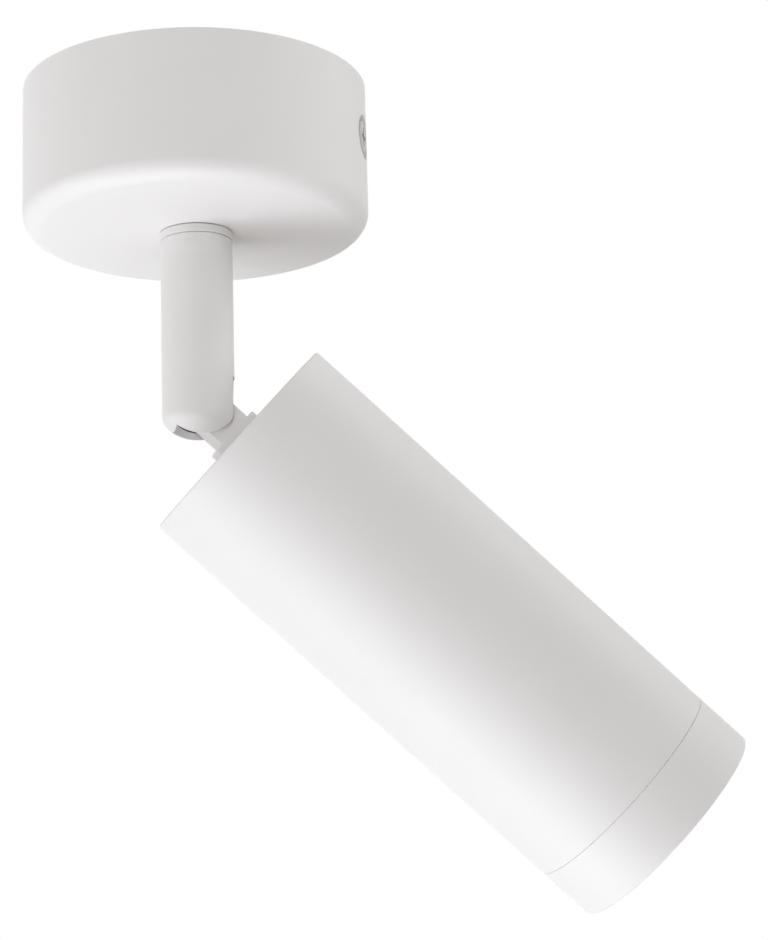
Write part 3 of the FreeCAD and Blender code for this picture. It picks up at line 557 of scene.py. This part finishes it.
slot_shade = add_node(tree, "ShaderNodeMath", {"operation": "MULTIPLY"},
                {0: shade_disc.outputs["Result"], 1: inside.outputs["Value"]})
slot_shaded = add_node(tree, "ShaderNodeMix", {"data_type": "RGBA", 7: linear("#383735")},
                   {0: slot_shade.outputs["Value"], 6: ring_highlight_mix.outputs[2]})

# Along the rim of the slot's open side a fine grey line is painted: painted shade in the crease where the
# cheek meets the arm.
RIM_SHADE_WIDTH = 0.6
RIM_START = 4.0
RIM_FULL = 7.0
rim = add_node(tree, "ShaderNodeMath",
               {"operation": "COMPARE", 1: 0.0, 2: (SLOT_HALF + RIM_SHADE_WIDTH) * MM},
               {0: depth.outputs["Y"]})
open_side = add_node(tree, "ShaderNodeMapRange",
                     {"From Min": RIM_START * MM, "From Max": RIM_FULL * MM},
                     {"Value": depth.outputs["X"]})
under_top = add_node(tree, "ShaderNodeMath", {"operation": "LESS_THAN", 1: SLOT_TOP * MM},
                     {0: depth.outputs["Z"]})
at_rim = add_node(tree, "ShaderNodeMath", {"operation": "MULTIPLY"},
                  {0: rim.outputs["Value"], 1: open_side.outputs["Result"]})
rim_shade = add_node(tree, "ShaderNodeMath", {"operation": "MULTIPLY"},
                {0: at_rim.outputs["Value"], 1: under_top.outputs["Value"]})
rim_shaded = add_node(tree, "ShaderNodeMix", {"data_type": "RGBA", 7: linear("#989692")},
                {0: rim_shade.outputs["Value"], 6: slot_shaded.outputs[2]})
tree.links.new(rim_shaded.outputs[2], shader.inputs["Base Color"])
hand_over(stem, "stem_rod", turned_coat, "stem", ["stem"], stem_place)

# Pivot screw: the tilt joint's pin, a low-headed steel screw sunk in the far cheek over a washer.
# Its head is painted white and its washer is zinc plated.
PIVOT_HEAD_RADIUS = 3.2
PIVOT_HEAD_HEIGHT = 1.4
PIVOT_RADIUS = 2.0
PIVOT_LENGTH = 11.2
PIVOT_HEAD_SEAT = 6.0
pivot_place = stem_place @ across @ Matrix.Translation((0, 0, PIVOT_HEAD_SEAT * MM))
pivot_screw = cross_screw(PIVOT_HEAD_RADIUS, PIVOT_HEAD_HEIGHT, PIVOT_RADIUS, PIVOT_LENGTH, pivot_place)
hand_over(pivot_screw, "pivot_screw_pin", screw_coat, "stem", ["pivot_screw"])
paint_nodes(zinc, "pivot_washer")

# Knuckle: a cast aluminium arm with a round tongue for the stem's slot and a foot on the head's back.
# White powder coat over the casting, a little softer at its edges than the turned pieces.
# A channel in the tongue's rim, with its ends given in degrees, takes the leads past the pivot.
TONGUE_RADIUS = 5.5
TONGUE_HALF = 3.25
ARM_HALF = 4.6
ARM_ROUNDING = 0.5
FOOT_HALF = 6.55
FOOT_HEIGHT = 2.0
SETBACK = 12.4
SPIGOT_RADIUS = 3.0
SPIGOT_DEPTH = 22.4
PIVOT_BORE = 2.08
PIVOT_BOSS = 2.9
CHANNEL_HALF = 1.9
CHANNEL_START = -60
CHANNEL_END = 115
INNER_END = 0.5
UPRIGHT_RISE = 1.0
WEDGE_REACH = 30.0
WEDGE_HALF = 5.0

head_place = Matrix.Translation(pivot) @ stem_place @ Matrix.Rotation(-tilt, 4, "Y")
hinge = Matrix.Rotation(math.radians(-90), 4, "X")
depth = (-TONGUE_HALF, TONGUE_HALF)
knuckle = new_rod(TONGUE_RADIUS, -TONGUE_HALF, TONGUE_HALF, hinge)
arm = new_block((-ARM_HALF, ARM_HALF), depth, (INNER_END - SETBACK, 0))
foot = new_block((-FOOT_HALF, FOOT_HALF), depth, (-SETBACK, FOOT_HEIGHT - SETBACK))
for part in (arm, foot):
    round_edges(part, ARM_ROUNDING, segments=4,
                test=lambda corners: abs(corners[0].z - corners[1].z) > UPRIGHT_RISE)
spigot = new_rod(SPIGOT_RADIUS, -SPIGOT_DEPTH, INNER_END - SETBACK)
channel = new_rod(TONGUE_RADIUS + OVERCUT, -CHANNEL_HALF, CHANNEL_HALF, hinge)
start_turn = Matrix.Rotation(math.radians(-CHANNEL_START), 4, "Y")
end_turn = Matrix.Rotation(math.radians(-CHANNEL_END), 4, "Y")
wedge_width = (-WEDGE_REACH, WEDGE_REACH)
wedge_depth = (-WEDGE_HALF, WEDGE_HALF)
combine(channel, [new_rod(PIVOT_BOSS, -WEDGE_HALF, WEDGE_HALF, hinge),
                  new_block(wedge_width, wedge_depth, (-WEDGE_REACH, 0), start_turn),
                  new_block(wedge_width, wedge_depth, (0, WEDGE_REACH), end_turn)], "DIFFERENCE")
combine(knuckle, [arm, foot, spigot], "UNION")
combine(knuckle, [new_rod(PIVOT_BORE, -TOOL_REACH, TOOL_REACH, hinge),
                  new_rod(CHANNEL_HALF, -WEDGE_REACH, -PIVOT_BOSS), channel], "DIFFERENCE")
hand_over(knuckle, "tilt_knuckle", powder, "head", ["knuckle"], head_place)

# Fittings inside the head: nut and washer on the knuckle's spigot, and the folded strip they clamp.
# The strip carries the lampholder, and all are zinc plated steel, hidden once the head is closed.
paint_nodes(zinc, "knuckle_nut", "knuckle_washer", "holder_carrier")
paint_nodes(zinc, "holder_screws", "carrier_ground_screw")

# Rear plate: a turned aluminium disc, powder coated and pressed flush into the back of the head tube.
# The joint shows as a fine line just inside the tube's rim.
PLATE_RADIUS = 25.4
PLATE_BORE = 3.08
PLATE_THICKNESS = 3.0
PLATE_ROUNDING = 0.3
plate_front = -SETBACK - PLATE_THICKNESS
plate = turn_piece([(PLATE_BORE, -SETBACK), (PLATE_RADIUS, -SETBACK), (PLATE_RADIUS, plate_front),
                    (PLATE_BORE, plate_front)])
soften(plate, PLATE_ROUNDING, segments=2)
hand_over(plate, "head_rear_plate", powder, "head", ["rear_plate"], head_place)

# Head tube: drawn aluminium tube, faced at both ends, with a thread cut inside its front end.
# Powder coated outside, with crisp edges.
HEAD_RADIUS = 27.5
TUBE_BORE = 25.5
SEAM_DEPTH = 133.4
TUBE_EDGE = 0.3
SEAM_EDGE = 0.16
THREAD_PITCH = 1.0
THREAD_DEPTH = 0.35
THREAD_TURNS = 4

outline = [(TUBE_BORE, -SETBACK), (HEAD_RADIUS - TUBE_EDGE, -SETBACK),
           (HEAD_RADIUS, -SETBACK - TUBE_EDGE), (HEAD_RADIUS, SEAM_EDGE - SEAM_DEPTH),
           (HEAD_RADIUS - SEAM_EDGE, -SEAM_DEPTH)]
for turn in range(THREAD_TURNS):
    height = turn * THREAD_PITCH - SEAM_DEPTH
    outline += [(TUBE_BORE + THREAD_DEPTH, height), (TUBE_BORE, height + THREAD_PITCH / 2)]
tube = turn_piece(outline)
hand_over(tube, "head_cylinder", powder, "head", ["head_tube"], head_place)

# Lampholder: a pressed disc of unglazed steatite with two keyhole slots for the lamp's pins.
# Two screws hold it on the folded carrier, behind the lamp.

# Cream ceramic, dry and slightly gritty.
steatite, tree, shader = start_material("Unglazed steatite", IOR=1.6)
place = mottled_colour(tree, shader, "#E8E1D0", "#DCD3BE", grain_mm=2.0)
grained_surface(tree, shader, place, grain_mm=0.25, depth_mm=0.02, roughness=(0.65, 0.85))
paint_nodes(steatite, "lampholder")

# Lamp: a 50 mm reflector lamp with a moulded white body and bowl, a clear lens and nickel pins.
# It turns in the holder, and its face sits a little way behind the front ring.
LAMP_RADIUS = 25.0
LAMP_EDGE = 0.4
LAMP_FACE = 127.7
LAMP_BACK = 78.3
LAMP_NECK_RADIUS = 11.5
LAMP_NECK = 16.0
LAMP_CONE = 24.0
LENS_RADIUS = 23.28
LENS_SEAT = 3.0
LENS_THICKNESS = 2.0
LENS_PLAY = 0.02
LENS_ROUNDING = 0.4
LENS_PILLOW = 2.6
PILLOW_HEIGHT = 0.12
BOWL_RIM = 21.6
BOWL_DEPTH = 17.0
CHIP_RADIUS = 7.0
BOWL_STEPS = 12

# Clean white plastic, half glossy.
lamp_body, tree, shader = start_material("Moulded lamp plastic", IOR=1.58)
place = mottled_colour(tree, shader, "#ECEBE8", "#E4E3DF", grain_mm=9.0)
grained_surface(tree, shader, place, grain_mm=0.6, depth_mm=0.005, roughness=(0.22, 0.32))
paint_nodes(lamp_body, "lamp_base")

neck_end = -LAMP_BACK - LAMP_NECK
lens_seat = LENS_SEAT - LAMP_FACE
lens_bore = LENS_RADIUS + LENS_PLAY
outline = [(LAMP_NECK_RADIUS, neck_end), (LAMP_RADIUS, neck_end - LAMP_CONE),
           (LAMP_RADIUS, LAMP_EDGE - LAMP_FACE), (LAMP_RADIUS - LAMP_EDGE, -LAMP_FACE),
           (lens_bore, -LAMP_FACE), (lens_bore, lens_seat), (BOWL_RIM, lens_seat)]
for step in range(1, BOWL_STEPS + 1):
    way = step / BOWL_STEPS
    bowl_radius = CHIP_RADIUS + (BOWL_RIM - CHIP_RADIUS) * math.sqrt(1 - way)
    outline.append((bowl_radius, lens_seat + BOWL_DEPTH * way))
housing = turn_piece(outline, capped=True)
hand_over(housing, "lamp_reflector_body", lamp_body, "lamp", ["lamp_housing"],
          head_place)

# Clear plastic, where small pillows break up what is seen through it.
lens_clear, tree, shader = start_material("Clear moulded lens", IOR=1.49, Transmission_Weight=1.0)
place = mottled_colour(tree, shader, "#FBFBF8", "#F4F4F0", grain_mm=8.0)
pillows = add_node(tree, "ShaderNodeTexVoronoi",
                   {"Scale": 1 / (LENS_PILLOW * MM), "Randomness": 0.15, "feature": "SMOOTH_F1"},
                   {"Vector": place.outputs["Object"]})
relief = add_node(tree, "ShaderNodeBump", {"Strength": 1.0, "Distance": PILLOW_HEIGHT * MM},
                  {"Height": pillows.outputs["Distance"]})
tree.links.new(relief.outputs["Normal"], shader.inputs["Normal"])
gloss = add_node(tree, "ShaderNodeMapRange", {"To Min": 0.08, "To Max": 0.2},
                 {"Value": pillows.outputs["Distance"]})
tree.links.new(gloss.outputs["Result"], shader.inputs["Roughness"])
lens = turn_piece([(LENS_RADIUS, lens_seat), (LENS_RADIUS, lens_seat - LENS_THICKNESS)], capped=True)
soften(lens, LENS_ROUNDING)
hand_over(lens, "lamp_front_lens", lens_clear, "lamp", ["lamp_lens"], head_place)

# A dry, dull yellow at the bottom of the bowl.
phosphor, tree, shader = start_material("Yellow phosphor", IOR=1.5)
place = mottled_colour(tree, shader, "#E9C74A", "#DDB63A", grain_mm=0.8)
grained_surface(tree, shader, place, grain_mm=0.2, depth_mm=0.02, roughness=(0.5, 0.65))
paint_nodes(phosphor, "lamp_chip")

# Bright and slightly warm metal.
nickel, tree, shader = start_material("Nickel plate", Metallic=1.0)
place = mottled_colour(tree, shader, "#CFCBC2", "#BDB8AD", grain_mm=1.0)
grained_surface(tree, shader, place, grain_mm=0.2, depth_mm=0.006, roughness=(0.18, 0.3))
paint_nodes(nickel, "lamp_pins")

# Front ring: a turned aluminium ring that screws into the tube and comes off to change the lamp.
# Its flared mouth hides the lamp's face from the side, and a fine seam shows where it meets the tube.
FRONT_DEPTH = 147.7
RING_SPIGOT_RADIUS = 25.42
RING_SPIGOT_BORE = 24.22
RING_SPIGOT = 5.0
RING_THREAD_DEPTH = 0.3
RING_MOUTH = 26.5
RING_EDGE = 0.3
RING_SHADOW_GAP = 0.04

ring_back = -SEAM_DEPTH - RING_SHADOW_GAP
spigot_end = RING_SPIGOT - SEAM_DEPTH
thread_root = RING_SPIGOT_RADIUS - RING_THREAD_DEPTH
outline = [(RING_SPIGOT_BORE, spigot_end), (thread_root, spigot_end)]
for turn in range(THREAD_TURNS):
    height = spigot_end - (turn + 0.5) * THREAD_PITCH
    outline += [(RING_SPIGOT_RADIUS, height), (thread_root, height - THREAD_PITCH / 2)]
outline += [(thread_root, ring_back), (HEAD_RADIUS - SEAM_EDGE, ring_back),
            (HEAD_RADIUS, ring_back - SEAM_EDGE), (HEAD_RADIUS, RING_EDGE - FRONT_DEPTH),
            (HEAD_RADIUS - RING_EDGE, -FRONT_DEPTH), (RING_MOUTH, -FRONT_DEPTH),
            (RING_SPIGOT_BORE, -SEAM_DEPTH)]
front_ring = turn_piece(outline)
hand_over(front_ring, "front_ring_bezel", powder, "front_ring", ["front_ring"],
          head_place)

# Studio: a pale floor well below the spotlight, a white surround for the camera, and soft boxes.
# The sharpest light comes from the lower left, and broad ones from below, in front and both sides.
# Sizes and places here are in metres.
FLOOR_SIZE = 8.0
FLOOR_DROP = 1.6
FLOOR_GLOW = 0.5
LAMP_AIM = Vector((0.04, 0.0, -0.09))
LAMP_TINT = "#F6F9FF"


def looked_at(tree):
    """An output that is 1 where the camera looks, straight on, through glass or in a reflection."""
    ray = add_node(tree, "ShaderNodeLightPath")
    direct = add_node(tree, "ShaderNodeMath", {"operation": "MAXIMUM"},
                      {0: ray.outputs["Is Camera Ray"], 1: ray.outputs["Is Transmission Ray"]})
    either = add_node(tree, "ShaderNodeMath", {"operation": "MAXIMUM"},
                      {0: direct.outputs["Value"], 1: ray.outputs["Is Glossy Ray"]})
    return either.outputs["Value"]


# The floor is matt and pale, and only the camera sees its faint glow, so it stays pale in every view.
bpy.ops.object.select_all(action="DESELECT")
bpy.ops.mesh.primitive_plane_add(size=FLOOR_SIZE, location=(0, 0, -FLOOR_DROP))
floor = bpy.context.object
floor.name = "studio_floor"
floor_paint, tree, shader = start_material("Pale studio floor", IOR=1.45, Roughness=0.8,
                                           Emission_Color=linear("#FFFFFF"))
mottled_colour(tree, shader, "#E9E9E9", "#E4E4E4", grain_mm=60.0)
glow = add_node(tree, "ShaderNodeMapRange", {"To Max": FLOOR_GLOW}, {"Value": looked_at(tree)})
tree.links.new(glow.outputs["Result"], shader.inputs["Emission Strength"])
floor.data.materials.append(floor_paint)

# The camera sees a white surround, and the surfaces get only a dim, slightly warm share of it.
world = bpy.data.worlds.new("Soft surround")
bpy.context.scene.world = world
world.use_nodes = True
tree = world.node_tree
surround = add_node(tree, "ShaderNodeMix",
                    {"data_type": "RGBA", 6: linear("#7F796C"), 7: linear("#FFFFFF")},
                    {0: looked_at(tree)})
tree.links.new(surround.outputs[2], tree.nodes["Background"].inputs["Color"])


def soft_lamp(name, place, size, power):
    """A square soft box, with its size in metres and its power in watts, that points at the spotlight."""
    lamp = bpy.data.lights.new(name, "AREA")
    lamp.size = size
    lamp.energy = power
    lamp.color = linear(LAMP_TINT)[:3]
    box = bpy.data.objects.new(name, lamp)
    bpy.context.scene.collection.objects.link(box)
    box.location = place
    box.visible_camera = False
    box.rotation_euler = (LAMP_AIM - Vector(place)).to_track_quat("-Z", "Y").to_euler()


soft_lamp("key_lower_left", (-0.88, -0.13, -0.46), 0.5, 2.2)
soft_lamp("broad_below", (0.05, -0.03, -1.09), 1.2, 6.2)
soft_lamp("broad_below_left", (-0.33, -0.34, -0.96), 1.2, 4.8)
soft_lamp("broad_front", (-0.21, -0.83, 0.41), 1.2, 3.5)
soft_lamp("broad_front_right", (0.72, -0.73, -0.09), 1.2, 1.75)
soft_lamp("broad_high_right", (0.88, 0.19, 0.41), 1.2, 5.4)
soft_lamp("broad_back_left", (-0.79, 0.25, 0.41), 1.2, 1.5)

# Camera: a long lens in front of the spotlight and below it, set from the outlines in the photograph.
# Yaw, pitch and roll are in degrees, and the focal length is in pixels of the 768 by 940 picture.
CAMERA_PLACE = Vector((140.3, -615.5, -249.4)) * MM
CAMERA_YAW = 8.95
CAMERA_PITCH = 13.842
CAMERA_ROLL = 1.647
FOCAL_PIXELS = 2796.4
IMAGE_HEIGHT = 940
SENSOR_HEIGHT = 36.0
turn = (Matrix.Rotation(math.radians(CAMERA_YAW), 3, "Z")
        @ Matrix.Rotation(math.radians(CAMERA_PITCH), 3, "X")
        @ Matrix.Rotation(math.radians(CAMERA_ROLL), 3, "Y"))

# A camera looks along its own -Z, so the turned X, Z and -Y become its right, up and back.
view = Matrix((turn.col[0], turn.col[2], -turn.col[1])).transposed().to_4x4()
lens_data = bpy.data.cameras.new("photo_camera")
lens_data.sensor_fit = "VERTICAL"
lens_data.sensor_height = SENSOR_HEIGHT
lens_data.lens = FOCAL_PIXELS * SENSOR_HEIGHT / IMAGE_HEIGHT
camera = bpy.data.objects.new("photo_camera", lens_data)
bpy.context.scene.collection.objects.link(camera)
camera.matrix_world = Matrix.Translation(CAMERA_PLACE) @ view
bpy.context.scene.camera = camera
bpy.context.scene.view_settings.view_transform = "Standard"
